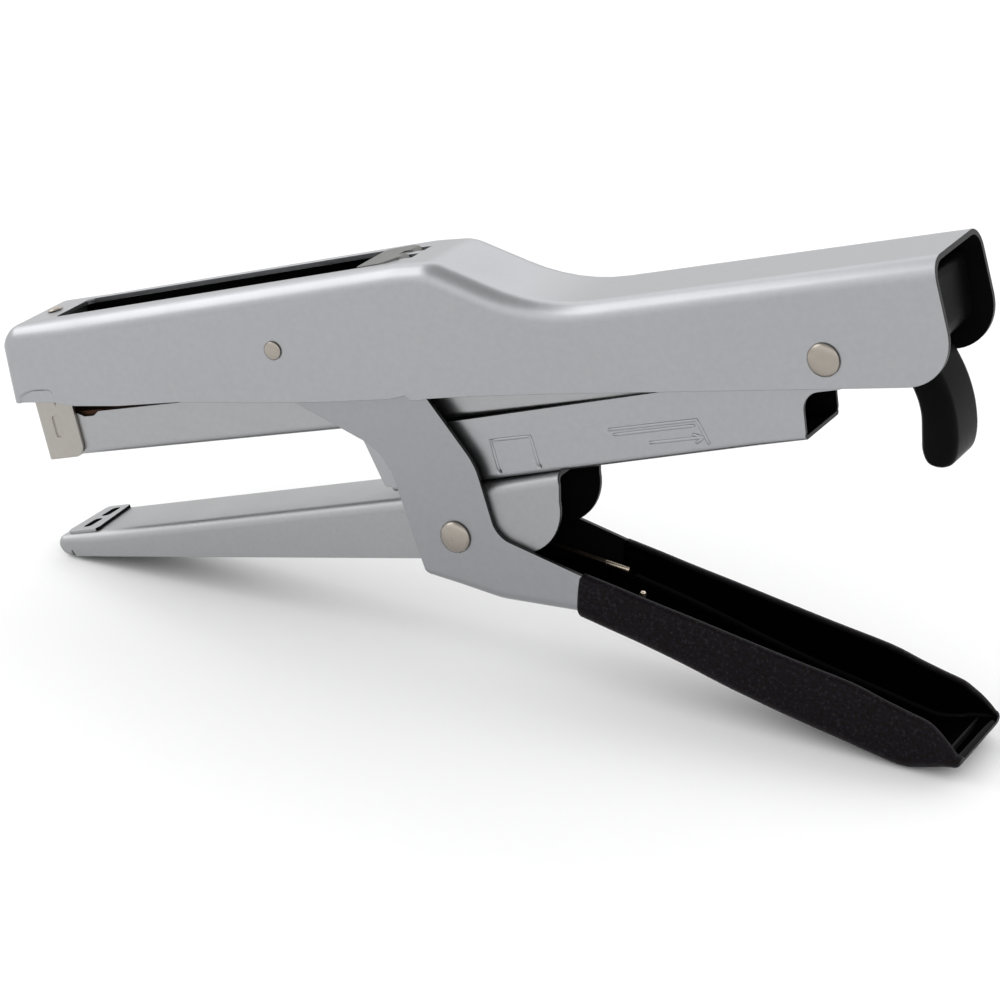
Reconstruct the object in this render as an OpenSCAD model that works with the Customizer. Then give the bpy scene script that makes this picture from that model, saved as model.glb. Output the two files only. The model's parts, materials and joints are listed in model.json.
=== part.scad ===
// Plier stapler: an upper frame with the driver, a magazine and a lower jaw that both turn
// on the rear rivet, and a lever that turns on the jaw and squeezes it up against the frame.
// Millimetres. Standing on the jaw's nose and the grip's heel, +X to the rear, +Z up.
// Parts are drawn in the frame's own side view: x back from its nose, z up from its lower edge.

/* [Frame] */
// Outer width of the frame
frame_w = 20.8; // [20.4:0.1:22]
// Sheet thickness of the frame
frame_t = 1.0; // [0.8:0.1:1.1]
// Height of the frame at its nose
nose_h = 14.3; // [13.8:0.1:15]
// Height of the frame's sharp crest, before rounding
crest_h = 23.9; // [23:0.1:25]
// Height of the frame's sharp waist, before rounding
waist_h = 14.7; // [14.2:0.1:15.2]
// Height of the frame at its tail
tail_h = 21.0; // [20.5:0.1:22]
// Length of the frame
frame_len = 190.3; // [189.5:0.1:191]
// Width of the loading window in the frame's top
window_w = 11.4; // [10:0.1:12]
// Rear end of the loading window
window_end = 84.5; // [80:0.5:85]

/* [Magazine] */
// Outer width of the magazine
magazine_w = 11.9; // [11.8:0.1:12]
// Depth of the magazine
magazine_h = 13.0; // [12.6:0.1:13.2]
// Rise of the magazine towards the rear, in degrees, when the stapler is open
magazine_tilt = 4.25; // [4:0.05:4.5]
// Length of the strip of staples
strip_len = 44.5; // [20:0.5:44.5]

/* [Lower jaw] */
// Outer width of the anvil arm
anvil_w = 16.1; // [15.8:0.1:16.2]
// Outer width of the guide channel
guide_w = 13.8; // [13.6:0.1:14]
// Height of the clinch plate above the arm
clinch_proud = 0.6; // [0.4:0.1:0.8]

/* [Lever] */
// Outer width of the lever's plates
lever_w = 18.3; // [18:0.1:18.3]
// Thickness of the dipped grip
grip_t = 0.9; // [0.6:0.1:1]

/* [Motion] */
// Swing of the jaw against the frame, in degrees
jaw_swing = 8.6; // [8:0.1:8.6]
// Swing of the lever against the frame, in degrees
lever_swing = 15.5; // [14:0.5:15.5]

/* [Rivets] */
// Shank radius of the two large rivets
shank_r = 1.8; // [1.5:0.1:2]
// Head radius of the two large rivets
head_r = 3.2; // [2.8:0.1:3.4]
// Running clearance of a bore on its shank, on the radius
running = 0.05; // [0.02:0.01:0.08]

/* [Hidden] */

$fn = 48;
wide = 60;
cut = 0.5;

// Pivots in the frame's side view: rear rivet, lever rivet, and the slot's pins
rear_pivot = [168.3, 5.05];
lever_pivot = [91.2, -26.6];
guide_pin = [61.4, 9.1];

// Sheet thicknesses
magazine_t = 0.6;
guide_t = 0.7;
anvil_t = 0.85;
lever_t = 0.85;

// The magazine's own view: u back from its nose, v up from its lower edge
pivot_u = 167;
pivot_v = 5.1;
channel_start = 3.2;
nose_len = 8.6;
nose_t = 0.7;
driver_t = 0.6;
driver_w = 10.2;
driver_rivet_r = 0.9;
strip_start = 2.8;
wire_t = 0.55;
crown_v = 8.4;
leg_v = 1.4;
rail_top = 7.75;
rail_end = 160;
rod_v = 10.3;
rod_r = 1.1;
pusher_len = 12;
pusher_u = strip_start + strip_len + 0.3;
coil_r = 2.1;
coil_wire = 0.5;
tab_u = 174.2;

pin_r = 1.2;
slot_r = pin_r + 0.3;

// Grip, from its front edge to the heel that the stapler stands on
grip_front = 114.6;
heel_r = 6;
heel = [170.4, -67.8];
anvil_nose_r = 2.6;
anvil_nose = [0.3, -31.8];

// A corner of an outline: the points of a fillet of radius r at b, between a and c
function unit(v) = v / norm(v);
function heading(v) = atan2(v[1], v[0]);
function turn(a) = a - 360 * floor((a + 180) / 360);
function fillet(a, b, c, r) = let(
        u = unit(a - b),
        v = unit(c - b),
        half = acos(u * v) / 2,
        centre = b + unit(u + v) * r / sin(half),
        from = heading(b + u * r / tan(half) - centre),
        sweep = turn(heading(b + v * r / tan(half) - centre) - from),
        steps = max(2, ceil(abs(sweep) / 9))
    ) [for (i = [0:steps]) centre + r * [cos(from + sweep * i / steps), sin(from + sweep * i / steps)]];
function xz(p) = [p[0], p[1]];
function radius(p) = len(p) > 2 ? p[2] : 0;
function outline(points) = let(n = len(points)) [
        for (i = [0:n - 1], p = radius(points[i]) == 0 ? [xz(points[i])] :
            fillet(xz(points[(i + n - 1) % n]), xz(points[i]), xz(points[(i + 1) % n]),
                radius(points[i]))) p
    ];

// The guide pins' path in the lever's plates, as the jaw and the lever swing shut together
function turned(p, a) = [p[0] * cos(a) - p[1] * sin(a), p[0] * sin(a) + p[1] * cos(a)];
function slot_point(part) = let(
        pivot = rear_pivot + turned(lever_pivot - rear_pivot, -jaw_swing * part)
    ) lever_pivot + turned(guide_pin - pivot, -lever_swing * part);
slot_steps = 10;
slot_path = [for (i = [0:slot_steps]) slot_point(i / slot_steps)];
function slot_heading(i) = heading(slot_path[min(i + 1, slot_steps)] - slot_path[max(i - 1, 0)]);
function slot_edge(i, a) = slot_path[i] + slot_r * [cos(slot_heading(i) + a), sin(slot_heading(i) + a)];
slot_outline = concat(
    [for (i = [0:slot_steps]) slot_edge(i, 90)],
    [for (a = [75:-15:-75]) slot_edge(slot_steps, a)],
    [for (i = [slot_steps:-1:0]) slot_edge(i, -90)],
    [for (a = [255:-15:105]) slot_edge(0, a)]);

// Where the circle of radius r in a square corner between straight edges has its centre
nose_centre = anvil_nose + [anvil_nose_r, anvil_nose_r];
heel_centre = heel + [0.75, heel_r + 0.35];

// The ground line touches the jaw's nose and the grip's heel
reach = heel_centre - nose_centre;
stand_tilt = -(heading(reach) - asin((heel_r - anvil_nose_r) / norm(reach)));
function standing(p) = [p[0] * cos(stand_tilt) - p[1] * sin(stand_tilt),
        p[0] * sin(stand_tilt) + p[1] * cos(stand_tilt)];
lift = anvil_nose_r - standing(nose_centre)[1];
centre_x = 93.6;

// Places for the frame's side view and for the magazine's
module on_table() {
    translate([-centre_x, 0, lift]) rotate([0, -stand_tilt, 0]) children();
}

module in_magazine() {
    on_table() translate([rear_pivot[0], 0, rear_pivot[1]]) rotate([0, -magazine_tilt, 0])
        translate([-pivot_u, 0, -pivot_v]) children();
}

// A plate whose outline lies in the side view, from y0 to y1
module slab(y0, y1) {
    translate([0, y1, 0]) rotate([90, 0, 0]) linear_extrude(y1 - y0) children();
}

module centred_slab(w) {
    slab(-w / 2, w / 2) children();
}

module at(p, y = 0) {
    translate([p[0], y, p[1]]) children();
}

// A round bar across the stapler, from y0 to y1
module cross_bar(r, y0, y1) {
    translate([0, y1, 0]) rotate([90, 0, 0]) cylinder(h = y1 - y0, r = r);
}

module both_sides() {
    children();
    mirror([0, 1, 0]) children();
}

// A domed rivet head standing on the plane z = 0
module dome(r, h) {
    ball = (r * r + h * h) / (2 * h);
    rotate_extrude() intersection() {
        translate([0, h - ball]) circle(ball);
        square([r, h]);
    }
}

module side_dome(r, h, y) {
    translate([0, y, 0]) rotate([-90, 0, 0]) dome(r, h);
}

// ---------------------------------------------------------------- frame

function frame_edge(t) = [
        [t, t == 0 ? 0 : -6, t == 0 ? 0.6 : 0],
        [t, nose_h - t, 2],
        [95.7, crest_h - t, 17],
        [115.4, waist_h - t, 39],
        if (t == 0) [frame_len - 1, tail_h, 0.8],
        if (t == 0) [frame_len, 9, 4],
        if (t == 0) [frame_len, 0, 8.2],
        if (t > 0) [frame_len + 5, tail_h - t + 0.5],
        if (t > 0) [frame_len + 5, -6],
        if (t == 0) [42, -1],
    ];

function top_at(x) = nose_h + (crest_h - nose_h) * x / 95.7;
function roof_at(x) = nose_h - frame_t + (crest_h - nose_h) * (x - frame_t) / (95.7 - frame_t);
top_slope = atan((crest_h - nose_h) / 95.7);

module window_outline() {
    polygon(outline([[10.2, -window_w / 2, 1.2], [window_end, -window_w / 2, 1.2],
        [window_end, window_w / 2, 1.2], [10.2, window_w / 2, 1.2]]));
}

module frame_shell() {
    color("silver") on_table() difference() {
        centred_slab(frame_w) polygon(outline(frame_edge(0)));
        centred_slab(frame_w - 2 * frame_t) polygon(outline(frame_edge(frame_t)));
        translate([0, 0, 10]) linear_extrude(20) window_outline();
        at(guide_pin) cross_bar(pin_r, -wide / 2, wide / 2);
        at(rear_pivot) cross_bar(shank_r, -wide / 2, wide / 2);
        at([6.1, 0]) cylinder(h = 30, r = driver_rivet_r);
    }
}

module driver_blade() {
    front = 2.9;
    back = front + 6.8;
    low = -1.1;
    flange_t = 0.9;
    gap = 0.04;
    color("dimgray") on_table() difference() {
        centred_slab(driver_w) polygon([[front, low], [front, roof_at(front) - gap],
            [back, roof_at(back) - gap], [back, roof_at(back) - gap - flange_t],
            [front + driver_t, roof_at(front + driver_t) - gap - flange_t], [front + driver_t, low]]);
        at([6.1, 0]) cylinder(h = 30, r = driver_rivet_r);
    }
}

module driver_rivet() {
    color("tan") on_table() at([6.1, top_at(6.1)]) {
        rotate([0, -top_slope, 0]) dome(1.5, 0.7);
        translate([0, 0, -2.6]) cylinder(h = 3, r = driver_rivet_r);
    }
}

// Leaf spring: hooked in the window's rear end, it bears down on the magazine
module magazine_spring() {
    leaf_t = 0.5;
    upper = [[79, 20.9], [86, 21.4], [93, 21.4, 8], [103.5, 16.2, 14], [114.5, 10.6, 4], [121, 11.4]];
    lower = [for (i = [len(upper) - 1:-1:0]) [upper[i][0] - 0.1, upper[i][1] - leaf_t,
        radius(upper[i])]];
    color("gray") on_table() centred_slab(10.6) polygon(outline(concat(upper, lower)));
}

module guide_pins() {
    inside = lever_w / 2 - lever_t - 0.5;
    color("tan") on_table() at(guide_pin) both_sides() {
        cross_bar(pin_r, inside, frame_w / 2);
        side_dome(1.7, 0.6, frame_w / 2);
        cross_bar(pin_r + 0.5, inside - 0.4, inside);
    }
}

module rear_rivet() {
    color("tan") on_table() at(rear_pivot) {
        cross_bar(shank_r, -frame_w / 2, frame_w / 2);
        both_sides() side_dome(head_r, 1.2, frame_w / 2);
    }
}

module rear_spacers() {
    color("gray") on_table() at(rear_pivot) both_sides() difference() {
        cross_bar(3.6, guide_w / 2 + 0.05, frame_w / 2 - frame_t);
        cross_bar(shank_r, 0, wide);
    }
}

// ---------------------------------------------------------------- magazine

module magazine_channel() {
    inner = magazine_w - 2 * magazine_t;
    front_h = 8.2;
    color("silver") in_magazine() difference() {
        centred_slab(magazine_w) polygon(outline([[channel_start, 0], [172.3, 0, 5],
            [172.3, 10.4, 5], [160, magazine_h, 3], [60, magazine_h, 3], [50, front_h, 3],
            [14.2, front_h, 0.6], [12.8, front_h - 0.8, 0.6], [10.6, front_h - 0.8, 0.8],
            [9, front_h], [channel_start, front_h]]));
        translate([0, -inner / 2, magazine_t]) cube([200, inner, 30]);
        at([pivot_u, pivot_v]) cross_bar(shank_r + running, -wide / 2, wide / 2);
        for (u = [20, 90, 150]) at([u, 0], 0) translate([0, 0, -cut]) cylinder(h = 2, r = 1);
    }
}

module nose_piece() {
    w = magazine_w + 2 * nose_t;
    inner = magazine_w;
    color("tan") in_magazine() difference() {
        centred_slab(w) polygon(outline([[-0.3, -0.25, 0.6], [nose_len, -0.1, 2.2],
            [nose_len + 0.4, magazine_h], [0, magazine_h]]));
        translate([nose_t, -inner / 2, -1]) cube([30, inner, 30]);
    }
}

module staple_rail() {
    rail_w = 8.6;
    color("gray") in_magazine() difference() {
        translate([4.4, -rail_w / 2, magazine_t]) cube([rail_end - 4.4, rail_w, rail_top - magazine_t]);
        translate([4, -rail_w / 2 + 0.8, magazine_t + 0.8])
            cube([rail_end, rail_w - 1.6, rail_top - magazine_t - 1.6]);
        for (u = [20, 90, 150]) at([u, 0]) cylinder(h = 3, r = 1);
    }
}

module rail_rivets() {
    color("tan") in_magazine() for (u = [20, 90, 150]) at([u, 0]) {
        translate([0, 0, magazine_t + 0.8]) cylinder(h = 0.6, r = 1.8);
        cylinder(h = magazine_t + 0.9, r = 1);
    }
}

module staple_strip() {
    crown = 10.2;
    color("peru") in_magazine() difference() {
        translate([strip_start, -crown / 2, leg_v]) cube([strip_len, crown, crown_v - leg_v]);
        translate([0, -crown / 2 + wire_t, 0]) cube([100, crown - 2 * wire_t, crown_v - wire_t]);
    }
}

module rear_bush() {
    color("gray") in_magazine() at([pivot_u, pivot_v]) difference() {
        cross_bar(2.4, -magazine_w / 2 + magazine_t, magazine_w / 2 - magazine_t);
        cross_bar(shank_r + running, -wide / 2, wide / 2);
    }
}

// ---------------------------------------------------------------- follower and pusher

module along_rod(u) {
    in_magazine() translate([u, 0, rod_v]) rotate([0, 90, 0]) children();
}

module follower_rod() {
    color("silver") {
        along_rod(7) cylinder(h = tab_u + 3 - 7, r = rod_r);
        along_rod(7) cylinder(h = 1.2, r = 1.7);
    }
}

module pull_tab() {
    head_w = frame_w - 2 * frame_t - 0.6;
    hook_w = 12.2;
    color("black") difference() {
        union() {
            on_table() centred_slab(head_w) polygon(outline([[176.2, 1, 1], [180, 1, 1.5],
                [187.2, 6.5, 3.5], [187, 17.6, 2], [176.2, 16.8, 2]]));
            on_table() centred_slab(hook_w) polygon(outline([[178.4, 3], [181.2, -5.5, 12],
                [180, -12.8, 1.4], [181.8, -15.3, 1.4], [185.3, -14.8, 1.8],
                [187, -7, 8], [184.6, 3]]));
        }
        along_rod(tab_u - 3) cylinder(h = 6, r = rod_r);
    }
}

module feed_spring() {
    first = pusher_u + pusher_len + 0.1;
    color("gray") along_rod(first) difference() {
        cylinder(h = tab_u - 0.6 - first, r = coil_r);
        translate([0, 0, -cut]) cylinder(h = 200, r = coil_r - coil_wire);
    }
}

module pusher() {
    outer = 10.2;
    leg = 0.7;
    color("dimgray") in_magazine() difference() {
        translate([pusher_u, -outer / 2, leg_v]) cube([pusher_len, outer, rod_v + 1.9 - leg_v]);
        translate([0, -outer / 2 + leg, 0]) cube([200, outer - 2 * leg, rail_top + 0.3]);
        translate([0, 0, rod_v]) rotate([0, 90, 0]) cylinder(h = 200, r = rod_r + running);
    }
}

// ---------------------------------------------------------------- lower jaw

function anvil_top(x) = x < 80 ? -27.9 + (x - 0.3) * 7.8 / 79.7 : -20.1 + (x - 80) * 4.7 / 33.3;
anvil_slope = atan(7.8 / 79.7);

module anvil_arm() {
    color("silver") on_table() difference() {
        centred_slab(anvil_w) polygon(outline([[anvil_nose[0], anvil_nose[1], anvil_nose_r],
            [0.3, -27.9, 0.6], [80, -20.1, 60], [113.1, -15.4, 0.4], [112.9, -29.3, 9.5],
            [92, -31.2, 30]]));
        centred_slab(anvil_w - 2 * anvil_t) polygon([[1.4, -40], [1.4, -27.8 - anvil_t],
            [80, -20.1 - anvil_t], [120, anvil_top(120) - anvil_t], [120, -40]]);
        at(lever_pivot) cross_bar(shank_r + running, -wide / 2, wide / 2);
        for (x = jaw_rivet_places) at([x, -24]) cylinder(h = 16, r = 1);
    }
}

module clinch_plate() {
    plate_w = 13.6;
    groove = [2.9, 4.3];
    color("silver") on_table() at([2.4, anvil_top(2.4)]) rotate([0, -anvil_slope, 0]) difference() {
        linear_extrude(clinch_proud)
            polygon(outline([[0, -plate_w / 2, 1], [7.6, -plate_w / 2, 1], [5.8, plate_w / 2, 1],
                [0, plate_w / 2, 1]]));
        for (y = [-5.2, 0.7])
            translate([groove[0], y, clinch_proud - 0.35]) cube([groove[1] - groove[0], 4.5, 1]);
    }
}

function guide_floor(x) = -19 + (x - 77.1) * 9.4 / 84.7;
jaw_rivet_places = [100, 108];

// The guide channel carries the magazine and hangs on the rear rivet
module guide_channel() {
    floor_line = [for (x = [77.1, 161.8]) [x, guide_floor(x), 1.2]];
    color("silver") on_table() difference() {
        union() {
            centred_slab(guide_w) polygon(outline(concat([[73.9, -8.1, 0.8]], floor_line,
                [[161.9, -3.8, 2.2], [171, -0.8], [168.4, 11.9], [162, 7, 4], [143, -0.2, 12]])));
            at(rear_pivot) cross_bar(6.6, -guide_w / 2, guide_w / 2);
        }
        centred_slab(guide_w - 2 * guide_t) polygon([[60, guide_floor(60) + guide_t],
            [190, guide_floor(190) + guide_t], [190, 30], [60, 30]]);
        at(rear_pivot) cross_bar(shank_r + running, -wide / 2, wide / 2);
        for (x = jaw_rivet_places) at([x, -24]) cylinder(h = 16, r = 1);
    }
}

module jaw_rivets() {
    head = [1.8, 0.5];
    color("tan") on_table() for (x = jaw_rivet_places) {
        under = anvil_top(x - head[0]) - anvil_t;
        over = guide_floor(x + head[0]) + guide_t;
        at([x, under - head[1]]) cylinder(h = head[1], r = head[0]);
        at([x, under - head[1] / 2]) cylinder(h = over - under + head[1], r = 1);
        at([x, over]) cylinder(h = head[1], r = head[0]);
    }
}

// ---------------------------------------------------------------- lever

// Lower line of the lever's sheet, from the front of its web to the grip's tip
lever_base = [[83.5, -33.7, 1.2], [97.5, -38.3, 12], [grip_front, -40.8, 8], [130.2, -46.9, 40],
    [heel[0] - 0.2, heel[1] + grip_t + 0.3, heel_r - grip_t], [179.4, -64.9, 0.8]];
lever_upper = [[176, -61.3, 8], [158, -50.9, 40], [115.4, -33.9, 3]];
lever_plate = [[99.5, -26.6, 5], [97.9, -13.2, 12], [87.3, 5, 3], [57.2, 13, 3], [57, 2.1, 3],
    [79.9, -10.8, 9]];

function raised(points, d) = [for (p = points) [p[0], p[1] + d, radius(p)]];

module lever_solid() {
    difference() {
        centred_slab(lever_w) polygon(outline(concat(lever_base, lever_upper, lever_plate)));
        centred_slab(lever_w - 2 * lever_t) polygon(outline(concat([[60, -30.5]],
            raised(lever_base, lever_t + 0.1), [[190, -40], [190, 30], [50, 30]])));
    }
}

module lever_channel() {
    color("silver") on_table() difference() {
        lever_solid();
        at(lever_pivot) cross_bar(shank_r, -wide / 2, wide / 2);
        centred_slab(wide) polygon(slot_outline);
    }
}

module grip_sleeve() {
    skin = lever_w + 2 * grip_t;
    lining = lever_w - 2 * lever_t - 1;
    base = [[grip_front, -41.5, 2], [130, -47.6, 40], [heel[0], heel[1], heel_r], [181, -65.4, 0.8]];
    upper = [[176.5, -60.4, 8], [158, -50, 40], [115.4, -33.2, 0.5]];
    color("black") on_table() difference() {
        centred_slab(skin) polygon(outline(concat(base, upper)));
        centred_slab(lining) polygon(outline(concat(raised(base, 2 * grip_t + 0.9),
            [[190, -40], [100, -20]])));
        centred_slab(lever_w) polygon(outline(concat([[97.5, -38.3, 12]], [for (i = [2:5]) lever_base[i]],
            lever_upper, [[99.5, -26.6]])));
    }
    color("black") on_table() difference() {
        centred_slab(lever_w - 2 * lever_t) polygon(outline(concat(base, upper)));
        centred_slab(lining) polygon(outline(concat(raised(base, 2 * grip_t + 0.9),
            [[190, -40], [100, -20]])));
        centred_slab(wide) polygon(outline(concat([[60, -60], [97.5, -38.3 + lever_t + 0.1, 12]],
            raised([for (i = [2:5]) lever_base[i]], lever_t + 0.1), [[190, -90]])));
    }
}

module lever_rivet() {
    color("tan") on_table() at(lever_pivot) {
        cross_bar(shank_r, -lever_w / 2, lever_w / 2);
        both_sides() side_dome(head_r, 1.1, lever_w / 2);
    }
}

module lever_bush() {
    reach_y = anvil_w / 2 - anvil_t - 0.15;
    color("gray") on_table() at(lever_pivot) difference() {
        cross_bar(2.6, -reach_y, reach_y);
        cross_bar(shank_r, -wide / 2, wide / 2);
    }
}

// Double torsion spring: two coils round the bush, short legs under the arm, long legs on the web
module lever_spring() {
    wire = 1.2;
    coil_in = 2.9;
    color("peru") on_table() at(lever_pivot) both_sides() {
        difference() {
            cross_bar(coil_in + wire, 2, 6.2);
            cross_bar(coil_in, 0, 8);
        }
        rotate([0, 18, 0]) translate([0, 5, -coil_in - wire]) cube([33, wire, wire]);
        rotate([0, -20, 0]) translate([0, 2, coil_in]) cube([14, wire, wire]);
    }
}

frame_shell();
driver_blade();
driver_rivet();
magazine_spring();
guide_pins();
rear_rivet();
rear_spacers();
magazine_channel();
nose_piece();
staple_rail();
rail_rivets();
staple_strip();
rear_bush();
follower_rod();
pull_tab();
feed_spring();
pusher();
anvil_arm();
clinch_plate();
guide_channel();
jaw_rivets();
lever_channel();
grip_sleeve();
lever_rivet();
lever_bush();
lever_spring();
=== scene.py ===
import json
import math

import bmesh
import bpy
from mathutils import Matrix, Vector


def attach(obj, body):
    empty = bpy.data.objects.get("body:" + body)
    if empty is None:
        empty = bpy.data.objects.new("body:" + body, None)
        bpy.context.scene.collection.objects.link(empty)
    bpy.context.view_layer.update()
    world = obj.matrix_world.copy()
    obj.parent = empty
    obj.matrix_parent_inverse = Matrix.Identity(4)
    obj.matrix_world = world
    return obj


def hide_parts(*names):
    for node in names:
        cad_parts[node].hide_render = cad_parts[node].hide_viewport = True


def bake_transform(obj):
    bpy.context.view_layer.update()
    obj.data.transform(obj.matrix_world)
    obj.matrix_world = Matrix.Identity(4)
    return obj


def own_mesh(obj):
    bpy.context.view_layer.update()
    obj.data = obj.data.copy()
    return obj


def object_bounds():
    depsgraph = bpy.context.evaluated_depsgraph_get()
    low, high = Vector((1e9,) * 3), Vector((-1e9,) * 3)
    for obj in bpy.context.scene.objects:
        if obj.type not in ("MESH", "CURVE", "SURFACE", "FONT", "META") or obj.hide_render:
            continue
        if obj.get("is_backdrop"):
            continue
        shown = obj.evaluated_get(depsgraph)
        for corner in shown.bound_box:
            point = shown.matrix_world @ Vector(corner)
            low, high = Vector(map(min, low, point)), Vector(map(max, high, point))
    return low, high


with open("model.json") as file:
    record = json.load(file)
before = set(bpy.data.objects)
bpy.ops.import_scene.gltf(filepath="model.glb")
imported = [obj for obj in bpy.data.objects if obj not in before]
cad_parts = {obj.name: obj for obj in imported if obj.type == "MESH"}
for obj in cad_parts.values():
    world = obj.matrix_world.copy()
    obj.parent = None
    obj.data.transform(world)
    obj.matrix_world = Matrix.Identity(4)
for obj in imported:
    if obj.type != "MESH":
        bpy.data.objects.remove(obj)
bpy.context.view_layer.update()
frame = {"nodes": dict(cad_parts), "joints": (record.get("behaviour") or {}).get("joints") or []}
joints = {j["name"]: j for j in frame["joints"]}

# ---------------------------------------------------------------- places
# Shapes are drawn in millimetres in two side views: the frame's own (x back from its nose,
# z up from its lower edge) and the magazine's (u, v). The joints say where both views lie.
MM = 0.001
REAR_PIVOT = Vector((168.3, 0, 5.05))
LEVER_PIVOT = Vector((91.2, 0, -26.6))
GUIDE_PIN = (61.4, 9.1)
MAGAZINE_PIVOT = Vector((167, 0, 5.1))
rear = Vector(joints["jaw_close"]["pos_m"])
fore = Vector(joints["lever_squeeze"]["pos_m"])
pull = Vector(joints["follower_pull"]["axis"])


def lean(v):
    return math.atan2(v.z, v.x)


def view_matrix(angle, pivot):
    """From a side view in millimetres to the row frame, with that pivot on the rear rivet."""
    turn = Matrix.Rotation(-angle, 4, "Y")
    scale = Matrix.Diagonal((MM, MM, MM, 1))
    return Matrix.Translation(rear) @ turn @ scale @ Matrix.Translation(-pivot)


SIDE = view_matrix(lean(rear - fore) - lean(REAR_PIVOT - LEVER_PIVOT), REAR_PIVOT)
MAGAZINE = view_matrix(lean(pull), MAGAZINE_PIVOT)

# ---------------------------------------------------------------- outlines


def fillet(a, b, c, r, step):
    """The arc that rounds the corner b, with a point every so many degrees."""
    a, b, c = Vector(a), Vector(b), Vector(c)
    u, v = (a - b).normalized(), (c - b).normalized()
    half = math.acos(max(-1.0, min(1.0, u.dot(v)))) / 2
    centre = b + (u + v).normalized() * r / math.sin(half)
    first = b + u * r / math.tan(half) - centre
    last = b + v * r / math.tan(half) - centre
    start = math.atan2(first.y, first.x)
    sweep = (math.atan2(last.y, last.x) - start + math.pi) % math.tau - math.pi
    count = max(2, math.ceil(abs(math.degrees(sweep)) / step))
    angles = [start + sweep * i / count for i in range(count + 1)]
    return [(centre.x + r * math.cos(t), centre.y + r * math.sin(t)) for t in angles]


def rounded(points, closed=True, step=7):
    """Points (x, z) or (x, z, corner radius), with the corners turned into arcs."""
    out = []
    last = len(points) - 1
    for i, p in enumerate(points):
        r = p[2] if len(p) > 2 else 0
        if r == 0 or (not closed and i in (0, last)):
            out.append(tuple(p[:2]))
        else:
            before, after = points[i - 1], points[(i + 1) % len(points)]
            out += fillet(before[:2], p[:2], after[:2], r, step)
    return out


def along(points, longest):
    """The same line with no stretch longer than that."""
    out = [points[0]]
    for a, b in zip(points, points[1:]):
        count = max(1, math.ceil(math.dist(a, b) / longest))
        for k in range(1, count + 1):
            out.append((a[0] + (b[0] - a[0]) * k / count, a[1] + (b[1] - a[1]) * k / count))
    return out


def between(pairs, x):
    """A value read between the (x, value) pairs, smoothly."""
    if x <= pairs[0][0]:
        return pairs[0][1]
    for (x0, v0), (x1, v1) in zip(pairs, pairs[1:]):
        if x <= x1:
            t = (x - x0) / (x1 - x0)
            return v0 + (v1 - v0) * t * t * (3 - 2 * t)
    return pairs[-1][1]


# ---------------------------------------------------------------- forms


# A mesh starts with spare material slots, so that thicken can number a sheet's faces:
# 0 outside, 1 inside, 2 cut edge
BLANK = bpy.data.materials.new("blank")
SLOTS = 4


class Form:
    """Vertices and faces in millimetres, each face with the number of its material."""

    def __init__(self):
        self.verts, self.faces, self.kinds = [], [], []

    def add(self, verts, faces, kind=0):
        base = len(self.verts)
        self.verts += [Vector(v) for v in verts]
        self.faces += [tuple(base + i for i in f) for f in faces]
        self.kinds += [kind] * len(faces)
        return self

    def join(self, other, move=Matrix.Identity(4)):
        base = len(self.verts)
        self.verts += [move @ v for v in other.verts]
        self.faces += [tuple(base + i for i in f) for f in other.faces]
        self.kinds += other.kinds
        return self

    def made(self, name, closed=True):
        mesh = bpy.data.meshes.new(name)
        mesh.from_pydata(self.verts, [], self.faces)
        for _ in range(SLOTS):
            mesh.materials.append(BLANK)
        mesh.polygons.foreach_set("material_index", self.kinds)
        if closed:
            bm = bmesh.new()
            bm.from_mesh(mesh)
            bmesh.ops.recalc_face_normals(bm, faces=bm.faces)
            bm.to_mesh(mesh)
            bm.free()
        obj = bpy.data.objects.new(name, mesh)
        bpy.context.scene.collection.objects.link(obj)
        return obj


def prism(points, y0, y1, kind=0):
    """A plate with that outline in the side view, from y0 to y1."""
    n = len(points)
    verts = [(x, y, z) for y in (y0, y1) for x, z in points]
    faces = [tuple(range(n)), tuple(range(2 * n - 1, n - 1, -1))]
    faces += [(i, n + i, n + (i + 1) % n, (i + 1) % n) for i in range(n)]
    return Form().add(verts, faces, kind)


def plan(points, z0, z1, kind=0):
    """A plate with that outline seen from above, from z0 to z1."""
    turned = prism([(x, y) for x, y in points], z0, z1, kind)
    turned.verts = [Vector((v.x, v.z, v.y)) for v in turned.verts]
    return turned


def lathe(profile, sides=48):
    """Profile (radius, height) turned about the Z axis, from the axis back to the axis."""
    form = Form()
    rings = []
    for r, h in profile:
        count = 1 if r < 1e-6 else sides
        rings.append(range(len(form.verts), len(form.verts) + count))
        angles = [math.tau * i / sides for i in range(count)]
        form.verts += [Vector((r * math.cos(t), r * math.sin(t), h)) for t in angles]
    for a, b in zip(rings, rings[1:]):
        for i in range(sides):
            j = (i + 1) % sides
            face = [a[i % len(a)], a[j % len(a)], b[j % len(b)], b[i % len(b)]]
            face = list(dict.fromkeys(face))
            if len(face) > 2:
                form.faces.append(tuple(face))
                form.kinds.append(0)
    return form


def dome(r, h, lip=0.12, rings=9):
    """Half profile of a rivet's head on the plane 0: a neck, an upright edge, the crown."""
    neck = 0.2
    crown = []
    for i in range(rings + 1):
        t = math.pi / 2 * i / rings
        crown.append((r * math.cos(t) ** 0.93, lip + (h - lip) * math.sin(t)))
    crown[-1] = (0, h)
    rim = neck + lip * 0.5
    under = [(r - 0.45, 0), (r - 0.4, neck * 0.8), (r - 0.05, neck), (r, rim)]
    return under + [(min(x, r - 0.02), z) for x, z in crown if z > rim + 0.04]


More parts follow.
